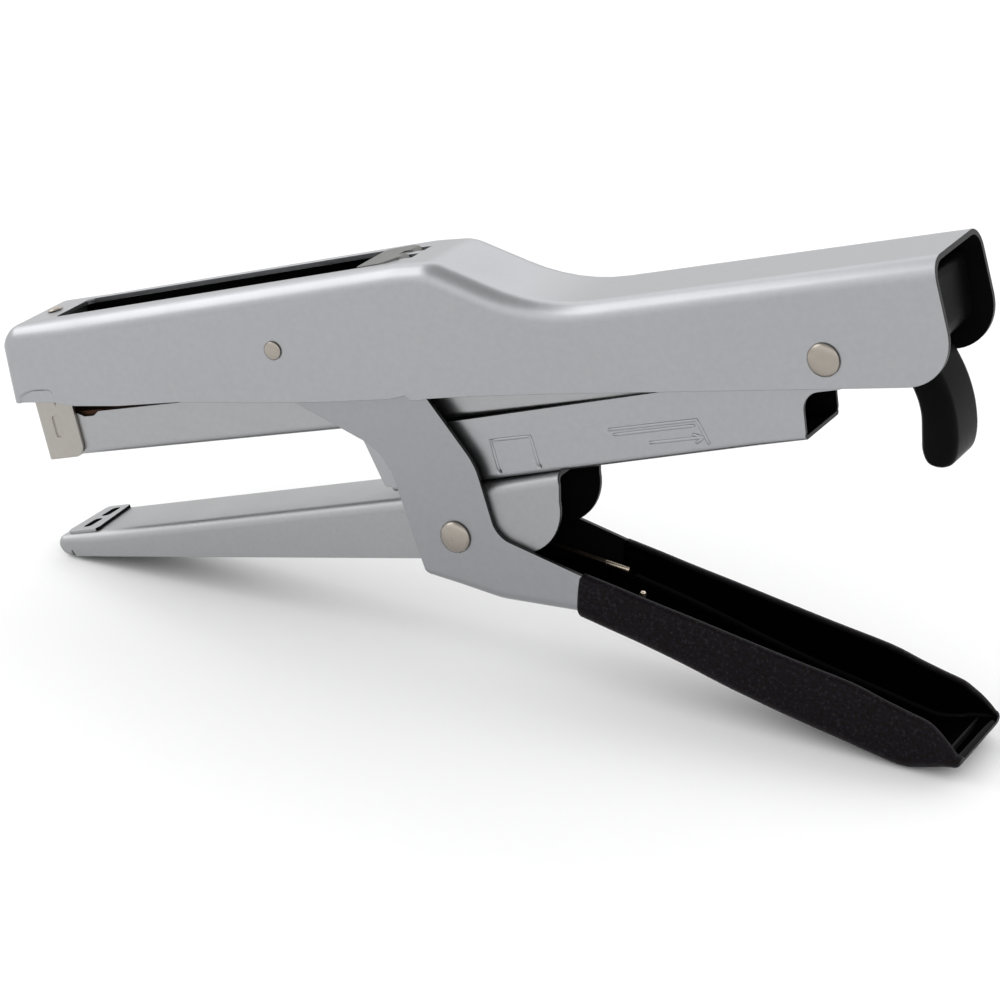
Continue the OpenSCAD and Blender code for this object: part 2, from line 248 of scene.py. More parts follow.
def tube(points, radius, sides=8, kind=0):
    """A round bar along the points, with blunt rounded ends."""
    end_past, end_r = radius * 0.35, radius * 0.55
    points = [Vector(p) for p in points]
    form = Form()
    tangents = []
    for i in range(len(points)):
        a, b = points[max(i - 1, 0)], points[min(i + 1, len(points) - 1)]
        tangents.append((b - a).normalized())
    side = tangents[0].orthogonal().normalized()
    rings = []
    stations = [(points[0] - tangents[0] * end_past, tangents[0], end_r)]
    stations += [(p, t, radius) for p, t in zip(points, tangents)]
    stations += [(points[-1] + tangents[-1] * end_past, tangents[-1], end_r)]
    for p, t, r in stations:
        side = (side - t * side.dot(t)).normalized()
        other = t.cross(side)
        rings.append(len(form.verts))
        for k in range(sides):
            a = math.tau * k / sides
            form.verts.append(p + (side * math.cos(a) + other * math.sin(a)) * r)
    for a, b in zip(rings, rings[1:]):
        for k in range(sides):
            j = (k + 1) % sides
            form.faces.append((a + k, a + j, b + j, b + k))
    form.faces.append(tuple(rings[0] + k for k in reversed(range(sides))))
    form.faces.append(tuple(rings[-1] + k for k in range(sides)))
    form.kinds += [kind] * len(form.faces)
    return form


def skin(web, edge, half, bend, steps=7):
    """A sheet bent into a channel, as its outer surface: the web follows the line, the walls
    stand on both its sides, and bend(x, z) is the radius between them. Outward is to the left
    of the line. The walls' free edge runs from the line's end back to its start."""
    form = Form()
    count = len(web)
    rings, outward = [], []
    for i, (x, z) in enumerate(web):
        a, b = web[max(i - 1, 0)], web[min(i + 1, count - 1)]
        d = Vector((b[0] - a[0], b[1] - a[1])).normalized()
        n = Vector((-d.y, d.x))
        outward.append(n)
        r = bend(x, z)
        ring = []
        for k in range(steps + 1):
            t = math.pi / 2 * k / steps
            off = -r * (1 - math.sin(t))
            ring.append((x + n.x * off, -(half - r + r * math.cos(t)), z + n.y * off))
        ring += [(p[0], -p[1], p[2]) for p in reversed(ring)]
        rings.append(range(len(form.verts), len(form.verts) + len(ring)))
        form.verts += [Vector(p) for p in ring]

    def face(indices, towards):
        a = [form.verts[i] for i in indices]
        normal = Vector((0, 0, 0))
        for p, q in zip(a, a[1:] + a[:1]):
            normal += p.cross(q)
        form.faces.append(tuple(indices if normal.dot(towards) > 0 else reversed(indices)))
        form.kinds.append(0)

    width = len(rings[0])
    for i in range(count - 1):
        n = outward[i] + outward[i + 1]
        for k in range(width - 1):
            across = (k - (width - 2) / 2) / (width / 2)
            towards = Vector((n.x, across, n.y))
            face([rings[i][k], rings[i + 1][k], rings[i + 1][k + 1], rings[i][k + 1]], towards)
    for column, y in ((0, -half), (width - 1, half)):
        start = len(form.verts)
        form.verts += [Vector((x, y, z)) for x, z in edge]
        wall = [ring[column] for ring in rings] + list(range(start, start + len(edge)))
        face(wall, Vector((0, y, 0)))
    return form


def through(points, steps):
    """A smooth run of values through the points, each a tuple of the same length."""
    out = []
    last = len(points) - 1
    for i in range(last):
        a, b, c, d = (points[max(0, min(last, i + k))] for k in (-1, 0, 1, 2))
        for step in range(steps):
            t = step / steps
            out.append(tuple(
                0.5 * (2 * q + (r - p) * t + (2 * p - 5 * q + 4 * r - u) * t * t
                       + (3 * q - p - 3 * r + u) * t ** 3) for p, q, r, u in zip(a, b, c, d)))
    return out + [points[-1]]


def loft(rings, kinds):
    """A closed skin through rings of points; kinds gives each column's material."""
    form = Form()
    n = len(rings[0])
    for ring in rings:
        form.verts += [Vector(p) for p in ring]
    for i in range(len(rings) - 1):
        for k in range(n):
            a, b = i * n + k, i * n + (k + 1) % n
            form.faces.append((a, b, b + n, a + n))
            form.kinds.append(kinds[k])
    form.faces.append(tuple(range(n - 1, -1, -1)))
    form.faces.append(tuple(range(len(form.verts) - n, len(form.verts))))
    form.kinds += [0, 0]
    return form


def arc(cy, ch, r, start, end, count):
    """Points (y, h) of an arc between two angles in degrees."""
    angles = [math.radians(start + (end - start) * i / count) for i in range(count + 1)]
    return [(cy + r * math.cos(t), ch + r * math.sin(t)) for t in angles]


# ---------------------------------------------------------------- shaping


def bake(obj):
    """Applies the object's modifiers to its mesh."""
    graph = bpy.context.evaluated_depsgraph_get()
    mesh = bpy.data.meshes.new_from_object(obj.evaluated_get(graph))
    obj.modifiers.clear()
    obj.data = mesh


def thicken(obj, thickness, inner=1, rim=2):
    """Gives an outer skin its sheet thickness, inwards."""
    m = obj.modifiers.new("sheet", "SOLIDIFY")
    m.thickness = thickness
    m.offset = -1
    m.use_even_offset = True
    m.material_offset = inner
    m.material_offset_rim = rim
    bake(obj)


def carve(obj, *forms):
    """Cuts the forms, which stand clear of each other, out of the mesh."""
    tool = Form()
    for form in forms:
        tool.join(form)
    cutter = tool.made("cutter")
    m = obj.modifiers.new("cut", "BOOLEAN")
    m.operation = "DIFFERENCE"
    m.solver = "EXACT"
    m.material_mode = "INDEX"
    m.object = cutter
    bake(obj)
    bpy.data.objects.remove(cutter)


def soften(obj, width, segments=2, angle=38):
    """Rounds the edges sharper than that angle."""
    m = obj.modifiers.new("edges", "BEVEL")
    m.width = width
    m.segments = segments
    m.limit_method = "ANGLE"
    m.angle_limit = math.radians(angle)
    m.use_clamp_overlap = False
    m.miter_outer = "MITER_ARC"
    bake(obj)


def settle(obj, place, materials):
    """Puts a finished mesh into the row frame and gives it its materials."""
    obj.data.transform(place)
    kinds = [min(p.material_index, len(materials) - 1) for p in obj.data.polygons]
    obj.data.materials.clear()
    for m in materials:
        obj.data.materials.append(m)
    obj.data.polygons.foreach_set("material_index", kinds)
    obj.data.polygons.foreach_set("use_smooth", [True] * len(kinds))
    m = obj.modifiers.new("normals", "WEIGHTED_NORMAL")
    m.keep_sharp = True
    m.weight = 80


def piece(obj, place, materials, body, stands_for=()):
    """A finished piece on its body, standing for those CAD nodes."""
    settle(obj, place, materials)
    if body:
        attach(obj, body)
    if stands_for:
        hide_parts(*stands_for)
    return obj


# ---------------------------------------------------------------- materials


class Finish:
    """A node material: helper lines for its colour, roughness and bump."""

    def __init__(self, name, **shader):
        self.material = bpy.data.materials.new(name)
        self.material.use_nodes = True
        self.tree = self.material.node_tree
        self.shader = self.tree.nodes["Principled BSDF"]
        self.place = self.tree.nodes.new("ShaderNodeTexCoord").outputs["Object"]
        for socket, value in shader.items():
            self.shader.inputs[socket.replace("_", " ")].default_value = value

    def stretched(self, scale, tilt=0.0):
        node = self.tree.nodes.new("ShaderNodeMapping")
        node.inputs["Scale"].default_value = scale
        node.inputs["Rotation"].default_value = (0, tilt, 0)
        self.tree.links.new(self.place, node.inputs["Vector"])
        return node.outputs["Vector"]

    def noise(self, scale, detail=3.0, rough=0.55, vector=None):
        node = self.tree.nodes.new("ShaderNodeTexNoise")
        node.inputs["Scale"].default_value = scale
        node.inputs["Detail"].default_value = detail
        node.inputs["Roughness"].default_value = rough
        self.tree.links.new(vector or self.place, node.inputs["Vector"])
        return node.outputs["Fac"]

    def cells(self, scale, feature="F1"):
        node = self.tree.nodes.new("ShaderNodeTexVoronoi")
        node.feature = feature
        node.inputs["Scale"].default_value = scale
        self.tree.links.new(self.place, node.inputs["Vector"])
        return node.outputs["Distance"]

    def ramp(self, source, stops):
        node = self.tree.nodes.new("ShaderNodeValToRGB")
        ramp = node.color_ramp
        while len(ramp.elements) < len(stops):
            ramp.elements.new(0.5)
        for element, (at, colour) in zip(ramp.elements, stops):
            element.position = at
            element.color = (*colour, 1)
        self.tree.links.new(source, node.inputs["Fac"])
        return node.outputs["Color"]

    def level(self, source, low, high, start=0.3, end=0.7):
        node = self.tree.nodes.new("ShaderNodeMapRange")
        node.inputs["From Min"].default_value = start
        node.inputs["From Max"].default_value = end
        node.inputs["To Min"].default_value = low
        node.inputs["To Max"].default_value = high
        self.tree.links.new(source, node.inputs["Value"])
        return node.outputs["Result"]

    def blend(self, a, b, factor, mode="MIX"):
        node = self.tree.nodes.new("ShaderNodeMix")
        node.data_type = "RGBA"
        node.blend_type = mode
        node.inputs["Factor"].default_value = factor
        self.tree.links.new(a, node.inputs[6])
        self.tree.links.new(b, node.inputs[7])
        return node.outputs[2]

    def sum(self, a, b, weight):
        node = self.tree.nodes.new("ShaderNodeMath")
        node.operation = "MULTIPLY_ADD"
        node.inputs[1].default_value = weight
        self.tree.links.new(b, node.inputs[0])
        self.tree.links.new(a, node.inputs[2])
        return node.outputs[0]

    def colour(self, source):
        self.tree.links.new(source, self.shader.inputs["Base Color"])

    def roughness(self, source):
        self.tree.links.new(source, self.shader.inputs["Roughness"])

    def bump(self, height, depth, strength=1.0):
        node = self.tree.nodes.new("ShaderNodeBump")
        node.inputs["Distance"].default_value = depth
        node.inputs["Strength"].default_value = strength
        self.tree.links.new(height, node.inputs["Height"])
        self.tree.links.new(node.outputs["Normal"], self.shader.inputs["Normal"])


def shade(colour, factor):
    return tuple(min(1.0, c * factor) for c in colour)


GRAIN_DEPTH = 0.00001
SKIN_DEPTH = 0.00003


def metal(name, colour, rough, grain=0.5, mottle=0.06, brushed=0.0, pits=0.0):
    """Plated or bare metal: cloudy tone, uneven sheen, fine grain, and drawing lines or pits
    if asked."""
    f = Finish(name, Metallic=1.0)
    cloud = f.noise(60, 4, 0.6)
    fine = f.noise(900, 2, 0.6)
    tone = f.ramp(cloud, [(0.3, shade(colour, 1 - mottle)), (0.7, shade(colour, 1 + mottle))])
    speck = f.ramp(fine, [(0.35, (0.965, 0.965, 0.965)), (0.65, (1, 1, 1))])
    tone = f.blend(tone, speck, 1.0, "MULTIPLY")
    height = f.sum(f.noise(2400, 2, 0.7), fine, 1.2)
    if brushed:
        lines = f.noise(500, 3, 0.7, f.stretched((0.03, 1, 1), math.radians(12)))
        height = f.sum(height, lines, 1.5 * brushed)
        streaks = f.ramp(lines, [(0.3, (0.88, 0.88, 0.89)), (0.7, (1, 1, 1))])
        tone = f.blend(tone, streaks, brushed, "MULTIPLY")
    if pits:
        holes = f.ramp(f.cells(700), [(0.06, (0.55, 0.56, 0.53)), (0.3, (1, 1, 1))])
        tone = f.blend(tone, holes, pits, "MULTIPLY")
        height = f.sum(height, f.level(f.cells(700), 0, 1, 0.05, 0.35), 2.5 * pits)
    f.colour(tone)
    f.roughness(f.level(f.sum(cloud, fine, 0.3), rough * 0.85, rough * 1.15, 0.4, 0.9))
    f.bump(height, GRAIN_DEPTH, grain)
    return f.material


def moulded(name, colour, rough, grain, specks=0.0, scale=1500, ior=1.4):
    """Vinyl or plastic: near black, with a fine skin and, if asked, a speckle of tints."""
    f = Finish(name, IOR=ior)
    fine = f.noise(scale, 3, 0.65)
    cloud = f.noise(120, 3, 0.5)
    tone = f.ramp(cloud, [(0.3, shade(colour, 0.8)), (0.7, shade(colour, 1.25))])
    if specks:
        tint = f.ramp(f.noise(scale * 0.55, 2, 0.6), [
            (0.36, shade(colour, 0.35)), (0.46, (colour[0] * 1.5, colour[1], colour[2] * 0.9)),
            (0.56, (colour[0] * 0.8, colour[1] * 0.8, colour[2] * 1.7)),
            (0.68, shade(colour, 3.6))])
        tone = f.blend(tone, tint, specks)
    f.colour(tone)
    f.roughness(f.level(f.sum(fine, cloud, 0.5), rough * 0.85, rough * 1.2, 0.5, 1.0))
    f.bump(fine, SKIN_DEPTH, grain)
    return f.material


STEEL = metal("satin_sheet", (0.352, 0.358, 0.372), 0.33, 0.25, 0.015)
# Painted shade: the inner faces of the bent sheets are a near black non-metal, standing for the
# shade inside the channels
SHEET_PAINTED_SHADE = moulded("sheet_inside_painted_shade", (0.004, 0.004, 0.004), 0.6, 0.3, ior=1.06)
ANVIL = metal("anvil_sheet", (0.345, 0.348, 0.355), 0.42, 0.4, 0.02, pits=0.1)
# Painted shade: a darker copy of the satin sheet for the low lever plates
LEVER_PAINTED_SHADE = metal("lever_sheet_painted_shade", (0.305, 0.312, 0.325), 0.36, 0.25, 0.015)
LEVER_INSIDE = moulded("dipped_inside", (0.0008, 0.0008, 0.0008), 0.3, 0.2, ior=1.05)
MAG_STEEL = metal("magazine_sheet", (0.36, 0.363, 0.37), 0.33, 0.25, 0.015, brushed=0.15)
NICKEL = metal("rivet_nickel", (0.37, 0.35, 0.325), 0.3, 0.3, 0.05)
RIVET = metal("rivet_head", (0.335, 0.305, 0.27), 0.3, 0.3, 0.07)
PLAIN = metal("turned_steel", (0.16, 0.16, 0.16), 0.35, 0.5, 0.08, brushed=0.4)
HARD = metal("hardened_steel", (0.1, 0.1, 0.105), 0.42, 0.6, 0.12)
SPRING = metal("spring_strip", (0.14, 0.14, 0.133), 0.42, 0.5, 0.06)
WIRE = metal("spring_wire", (0.6, 0.52, 0.42), 0.28, 0.3, 0.08)
# A darkened copy of the spring wire: painted shade for the coils and legs that lie inside the
# lever
WIRE_PAINTED_SHADE = metal("spring_wire_painted_shade", (0.05, 0.04, 0.03), 0.4, 0.3, 0.2)
# Copper-toned staples, darkened to near black: painted shade inside the magazine
STAPLE_PAINTED_SHADE = metal("staple_wire", (0.07, 0.035, 0.022), 0.4, 0.3, 0.1)
# Painted shade: the sheets' cut edges are near black
EDGE_PAINTED_SHADE = metal("cut_edge_painted_shade", (0.04, 0.04, 0.042), 0.45, 0.4, 0.1)
# Painted shade for the clinch pad's grooves and rear face
PAD_PAINTED_SHADE = moulded("pad_painted_shade", (0.006, 0.006, 0.006), 0.6, 0.8, ior=1.1)
VINYL = moulded("dipped_vinyl", (0.005, 0.0044, 0.0046), 0.4, 0.4, specks=0.8, scale=3400,
                ior=1.14)
VINYL_INSIDE = moulded("dipped_gloss", (0.0006, 0.0006, 0.0007), 0.1, 0.06, scale=300, ior=1.09)
PLASTIC = moulded("moulded_plastic", (0.0025, 0.0025, 0.0027), 0.3, 0.3, scale=900, ior=1.1)

# ---------------------------------------------------------------- common parts


def across(x, y, z, side):
    """Where a turned part's axis points out of the stapler's side (side is -1 or 1)."""
    turn = Matrix.Rotation(-side * math.pi / 2, 4, "X")
    return Matrix.Translation((x, y * side, z)) @ turn


def twin(form, x, y, z):
    """The same turned part on both sides."""
    out = Form()
    for side in (-1, 1):
        out.join(form, across(x, y, z, side))
    return out


def helix(centre, radius, y0, y1, turns, start=0.0, per_turn=20):
    """The middle line of a coil about an axis that runs across the stapler."""
    count = int(turns * per_turn)
    out = []
    for i in range(count + 1):
        t = start + math.tau * turns * i / count
        y = y0 + (y1 - y0) * i / count
        out.append((centre[0] + radius * math.cos(t), y, centre[1] + radius * math.sin(t)))
    return out


SHANK_R = 1.8
BORE_R = 1.85


def shank_bore(pivot, half):
    """The hole that a large rivet's shank leaves in the walls within half of the middle."""
    angles = [math.tau * i / 40 for i in range(40)]
    return prism([(pivot.x + BORE_R * math.cos(t), pivot.z + BORE_R * math.sin(t))
                  for t in angles], -half, half)


def large_rivet(name, radius, height, pivot, half, body, node):
    """A domed head on each side and the shank between them."""
    head = lathe([(0, 0)] + dome(radius, height, 0.15, 12) + [(0, height)], 56)
    shank = lathe([(0, -2 * half), (SHANK_R, -2 * half), (SHANK_R, 0), (0, 0)], 40)
    rivet = twin(head, pivot.x, half, pivot.z)
    rivet.join(shank, across(pivot.x, half, pivot.z, 1))
    piece(rivet.made(name), SIDE, [RIVET], body, [node])


def small_rivet(inside, radius, height):
    """A turned rivet from the profile of what is inside the sheet up to its head."""
    return lathe(inside + dome(radius, height) + [(0, height)], 40)


# ---------------------------------------------------------------- frame

FRAME_HALF = 10.4
FRAME_T = 1.0
ROOF_SLOPE = 0.1003
CREST = (95.9, 23.35, 8)
WAIST = (115.4, 14.5, 39)
TAIL_TOP = (189.3, 21.0)


def roof_line(x):
    """The roof's height ahead of the crest."""
    return 14.3 + ROOF_SLOPE * x


def frame_bend(x, z):
    """Narrower down the nose than along the roof."""
    if x < 4:
        return between([(2, 1.5), (10.5, 2.0), (14.2, 3.1)], z)
    return between([(3.5, 3.1), (14, 3.9), (80, 3.8)], x)


frame_web = along(rounded([(-0.4, 0), (-0.4, 14.3, 3.8), (88.5, 23.2, 30), CREST, WAIST,
                           TAIL_TOP], False, 5), 6)
# An edge's two end points only set the direction of its first and last stretch, and
# aren't part of it
tail = Vector((TAIL_TOP[0] - WAIST[0], TAIL_TOP[1] - 14.7)).normalized()
tail_foot = (TAIL_TOP[0] + tail.y * 3.5, TAIL_TOP[1] - tail.x * 3.5)
frame_edge = rounded([
    tail_foot, (190.3, 9, 4), (190.3, 0, 8.2), (115.7, 0), (100, -0.2, 8), (91.5, -0.5, 1),
    (90, -0.75, 0.5), (88, -0.75, 0.5), (87.2, 0.2, 0.3), (83.7, -0.45, 4), (70, -0.75, 20),
    (56, -0.7, 20), (38, -0.3, 12), (24, -0.85, 12), (13.7, -0.7, 8), (9.8, -0.05, 3), (0.95, 0)],
    False)
shell = skin(frame_web, frame_edge[1:-1], FRAME_HALF, frame_bend).made("frame_skin", False)
thicken(shell, FRAME_T)
slope = math.atan(ROOF_SLOPE)


def roof_hole(x0, x1, y0, y1, r):
    """A rounded opening down through the roof."""
    return plan(rounded([(x0, y0, r), (x1, y0, r), (x1, y1, r), (x0, y1, r)]), 10, 40)


window = roof_hole(10.2, 84.5, -5.7, 5.7, 1.2)
prongs = [roof_hole(86.9, 89.6, y - 1.5, y + 1.5, 0.5) for y in (-2.2, 2.2)]
dents = []
for side in (-1, 1):
    # A pressed step in the lower edge: sloped at its top and rear, deepest at the top
    mouth, bottom = (rounded([(1.7 - grow, -3), (1.7 - grow, 1.2 + grow, 0.8),
                              (4.4, 2.2 + grow, 2), (9.0 + grow, 2.3 + grow, 1.1),
                              (9.6 + grow, -3)]) for grow in (0.5, 0))
    outer = [(x, side * (FRAME_HALF + 0.15), z) for x, z in mouth]
    inner = [(x, side * (FRAME_HALF - 0.42 - 0.06 * z), z) for x, z in bottom]
    dents.append(loft([outer, inner], [0] * len(outer)))
PIN_R = 1.2
pin_hole = lathe([(0, -1), (PIN_R, -1), (PIN_R, 4), (0, 4)])
carve(shell, window, *prongs, *dents, twin(pin_hole, GUIDE_PIN[0], 8, GUIDE_PIN[1]))
soften(shell, 0.12)
piece(shell, SIDE, [STEEL, SHEET_PAINTED_SHADE, EDGE_PAINTED_SHADE], "frame", ["frame_shell"])

DRIVER_RIVET_X = 6.1
rivet = small_rivet([(0, -2.6), (0.9, -2.6), (0.9, 0)], 1.55, 0.72).made("driver_rivet_head")
place = (SIDE @ Matrix.Translation((DRIVER_RIVET_X, 0, roof_line(DRIVER_RIVET_X)))
         @ Matrix.Rotation(-slope, 4, "Y"))
piece(rivet, place, [RIVET], "frame", ["driver_rivet"])

# Inside the frame each pin ends in a wider foot
pin = small_rivet([(0, -3.0), (1.7, -3.0), (1.7, -2.6), (PIN_R, -2.6), (PIN_R, 0)], 1.75, 0.62)
pins = twin(pin, GUIDE_PIN[0], FRAME_HALF, GUIDE_PIN[1]).made("guide_pin_heads")
piece(pins, SIDE, [RIVET], "frame", ["guide_pins"])

large_rivet("rear_pivot_rivet", 2.9, 1.2, REAR_PIVOT, FRAME_HALF, "frame", "rear_rivet")

# Leaf spring: two prongs over the window's rear end, then down inside onto the magazine
LEAF_T = 0.5
leaf_line = rounded([(78.9, 22.35), (84, 22.95, 4), (87.0, 23.45, 0.9),
                     (88.3, 22.0, 1.2), (93, 20.9, 3), (103.5, 16.2, 14), (114.5, 10.6, 4),
                     (121, 11.4)], False, 9)
leaf_top = along(leaf_line, 2)


def leaf_half(x):
    return between([(78.9, 5.1), (79.6, 5.4), (84.5, 5.4), (87, 3.7), (90, 3.6), (94, 5.2)], x)


COLUMNS = 8
leaf = Form()
for i, (x, z) in enumerate(leaf_top):
    w = leaf_half(x)
    leaf.verts += [Vector((x, w * (2 * k / COLUMNS - 1), z)) for k in range(COLUMNS + 1)]
    if i:
        for k in range(COLUMNS):
            # The gap between the prongs
            if 85.2 < (x + leaf_top[i - 1][0]) / 2 < 90.5 and k in (3, 4):
                continue
            a = (i - 1) * (COLUMNS + 1) + k
            b = a + COLUMNS + 1
            leaf.faces.append((a, b, b + 1, a + 1))
            leaf.kinds.append(0)
leaf_obj = leaf.made("leaf_spring", False)
thicken(leaf_obj, LEAF_T, 0, 0)
soften(leaf_obj, 0.1)
piece(leaf_obj, SIDE, [SPRING], None, ["magazine_spring"])
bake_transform(leaf_obj)

# ---------------------------------------------------------------- magazine

MAG_HALF = 5.95
mag_web = along([(168.4, -0.2), (3.2, -0.2)], 12)
mag_edge = rounded([(3.2, 1.2), (3.2, 8.2), (9, 8.2, 0.4), (10.6, 7.4, 0.8), (12.8, 7.4, 0.6),
                    (14.2, 8.2, 0.6), (50, 8.2, 3), (60, 13, 3), (160, 13, 3), (172.3, 10.4, 5),
                    (172.3, 2.2, 2.6), (168.4, 1.2)], False)[1:-1]
channel = skin(mag_web, mag_edge, MAG_HALF, lambda x, z: 1.4).made("magazine_sheet", False)
thicken(channel, 0.6)
RAIL_RIVETS = (20, 90, 150)
bore = lathe([(0, -2), (1.0, -2), (1.0, 3), (0, 3)], 32)
holes = [Form().join(bore, Matrix.Translation((u, 0, 0))) for u in RAIL_RIVETS]
carve(channel, *holes, shank_bore(MAGAZINE_PIVOT, 9))
soften(channel, 0.1)
piece(channel, MAGAZINE, [MAG_STEEL, SHEET_PAINTED_SHADE, EDGE_PAINTED_SHADE], "magazine",
      ["magazine_channel"])

NOSE_HALF = 6.65
nose_web = along([(-0.28, -0.2), (0, 12.9)], 4)
nose_edge = rounded([(0.9, 12.95), (9.0, 12.95, 0.3), (8.65, -0.1, 2.3), (0.62, -0.22)], False)
nose = skin(nose_web, nose_edge[1:-1], NOSE_HALF, lambda x, z: 0.9).made("nose_wrap", False)
thicken(nose, 0.66, 0, 0)
oval = rounded([(3.2, 4.0, 0.6), (4.6, 4.0, 0.6), (4.8, 8.3, 0.65), (3.3, 8.3, 0.65)])
carve(nose, *[prism(oval, side * NOSE_HALF - 0.3, side * NOSE_HALF + 0.3)
              for side in (-1, 1)])
soften(nose, 0.1)
piece(nose, MAGAZINE, [NICKEL], "magazine", ["nose_piece"])

STAPLES = 89
STAPLE_PITCH = 0.5
STRIP_START = 2.8
CROWN_HALF = 5.1
# One staple's outline across the magazine (y, v), and how much it narrows along its wire
staple = [(-5.1, 1.5), (-4.98, 1.4), (-4.67, 1.4), (-4.55, 1.5), (-4.55, 7.75), (-4.45, 7.85),
          (4.45, 7.85), (4.55, 7.75), (4.55, 1.5), (4.67, 1.4), (4.98, 1.4), (5.1, 1.5),
          (5.1, 8.1), (4.8, 8.4), (-4.8, 8.4), (-5.1, 8.1)]
wire = [(0.02, 0.06), (0.1, 0), (0.4, 0), (0.48, 0.06)]
n, last = len(staple), (len(wire) - 1) * len(staple)
faces = [tuple(range(n)), tuple(range(last + n - 1, last - 1, -1))]
for r in range(len(wire) - 1):
    faces += [(r * n + k, (r + 1) * n + k, (r + 1) * n + (k + 1) % n, r * n + (k + 1) % n)
              for k in range(n)]
strip = Form()
for i in range(STAPLES):
    u = STRIP_START + STAPLE_PITCH * i
    strip.add([(u + du, y * (1 - inset / CROWN_HALF), v - inset * (1 if v > 7.8 else 0))
               for du, inset in wire for y, v in staple], faces)
piece(strip.made("staple_row"), MAGAZINE, [STAPLE_PAINTED_SHADE], "magazine", ["staple_strip"])

# ---------------------------------------------------------------- follower

ROD_V = 10.3
rod_profile = [(0, 7.0), (1.4, 7.0), (1.7, 7.3), (1.7, 8.0), (1.5, 8.2), (1.1, 8.3),
               (1.1, 177.2), (0, 177.2)]
rod_place = Matrix.Translation((0, 0, ROD_V)) @ Matrix.Rotation(math.pi / 2, 4, "Y")
rod = Form().join(lathe(rod_profile, 32), rod_place).made("follower_bar")
piece(rod, MAGAZINE, [PLAIN], "follower", ["follower_rod"])

COIL_FRONT, COIL_REAR = 59.9, 173.5
FEED_COIL_R = 1.85
FEED_TURNS = 45
PER_TURN = 14
coil_length = COIL_REAR - COIL_FRONT
coil_line = []
for i in range(FEED_TURNS * PER_TURN + 1):
    t = math.tau * i / PER_TURN
    coil_line.append((COIL_FRONT + coil_length * i / (FEED_TURNS * PER_TURN),
                      FEED_COIL_R * math.cos(t), ROD_V + FEED_COIL_R * math.sin(t)))
coil = tube(coil_line, 0.25, 6).made("feed_coil")
piece(coil, MAGAZINE, [PLAIN], "follower", ["feed_spring"])
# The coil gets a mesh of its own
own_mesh(coil)

tab_head = prism(rounded([(176.2, 1, 1), (180, 1, 1.5), (187.2, 6.5, 3.5), (187, 17.6, 2),
                          (176.2, 16.8, 2)]), -9.1, 9.1).made("tab_head_part")
soften(tab_head, 0.8, 4, 50)
# The finger hook, station by station: front x, z, rear x, z, half width
HOOK = [(178.0, 3.0, 184.4, 3.2, 6.1), (180.3, -2.0, 186.2, -1.6, 6.1),
        (181.0, -6.0, 187.0, -6.2, 6.1), (180.6, -10.0, 186.9, -10.6, 6.1),
        (180.3, -12.6, 186.2, -13.6, 6.05), (180.8, -14.4, 185.3, -15.1, 5.7),
        (181.8, -15.3, 184.3, -15.6, 4.9), (182.6, -15.6, 183.5, -15.7, 4.3)]
hook_rings = []
for x0, z0, x1, z1, half in through(HOOK, 5):
    centre = Vector(((x0 + x1) / 2, 0, (z0 + z1) / 2))
    reach = Vector(((x1 - x0) / 2, 0, (z1 - z0) / 2))
    deep = reach.length
    r = min(2.3, deep * 0.8)
    ring = []
    for sy, sx, start in ((1, 1, 0), (-1, 1, 90), (-1, -1, 180), (1, -1, 270)):
        ring += arc(sy * (half - r), sx * (deep - r), r, start, start + 90, 5)
    hook_rings.append([centre + reach / deep * h + Vector((0, y, 0)) for y, h in ring])
hook = loft(hook_rings, [0] * len(hook_rings[0])).made("finger_hook")
piece(tab_head, SIDE, [PLASTIC], "follower", ["pull_tab"])
piece(hook, SIDE, [PLASTIC], "follower")

# ---------------------------------------------------------------- lower jaw

ANVIL_HALF = 8.05


ANVIL_SLOPE = 7.8 / 79.7


def anvil_top(x):
    """The height of the jaw's top, over its straight front part."""
    return -27.9 + (x - 0.3) * ANVIL_SLOPE


def anvil_bend(x, z):
    """Narrower down the nose than along the top."""
    if x < 3.2:
        return between([(-31.9, 0.95), (-30.0, 1.0), (-28.5, 1.35)], z)
    return between([(3.2, 1.4), (10, 2.0)], x)


anvil_web = along(rounded([(3.4, -31.8), (0.3, -31.8, 2.6), (0.3, -27.9, 1.5),
                           (80, -20.1, 60), (113.1, -15.4)], False, 8), 8)
anvil_edge = rounded([(112.8, -17.4), (112.9, -29.3, 9.5), (92, -31.2, 30), (4.3, -31.79, 0.3),
                      (3.4, -30.85)], False)
arm = skin(anvil_web, anvil_edge[1:-1], ANVIL_HALF, anvil_bend).made("anvil_sheet_arm", False)
thicken(arm, 0.85)
carve(arm, shank_bore(LEVER_PIVOT, 12))
soften(arm, 0.11)
piece(arm, SIDE, [ANVIL, SHEET_PAINTED_SHADE, EDGE_PAINTED_SHADE], "jaw", ["anvil_arm"])

PAD_X = 2.4
clinch_place = (SIDE @ Matrix.Translation((PAD_X, 0, anvil_top(PAD_X)))
                @ Matrix.Rotation(-math.atan(ANVIL_SLOPE), 4, "Y"))
pad = plan(rounded([(0, -6.8, 1), (7.6, -6.8, 1), (7.1, -4.0, 0.3), (5.8, 6.8, 1),
                    (0, 6.8, 1)]), -0.1, 0.6).made("clinch_pad")
grooves = []
for y0, y1 in ((-5.2, -0.7), (0.7, 5.2)):
    trough = [(2.6, y0, 0.75), (4.5, y0, 0.75), (4.5, y1, 0.75), (2.6, y1, 0.75)]
    grooves.append(plan(rounded(trough), 0.2, 2, 1))
soften(pad, 0.12, 3)
carve(pad, *grooves)
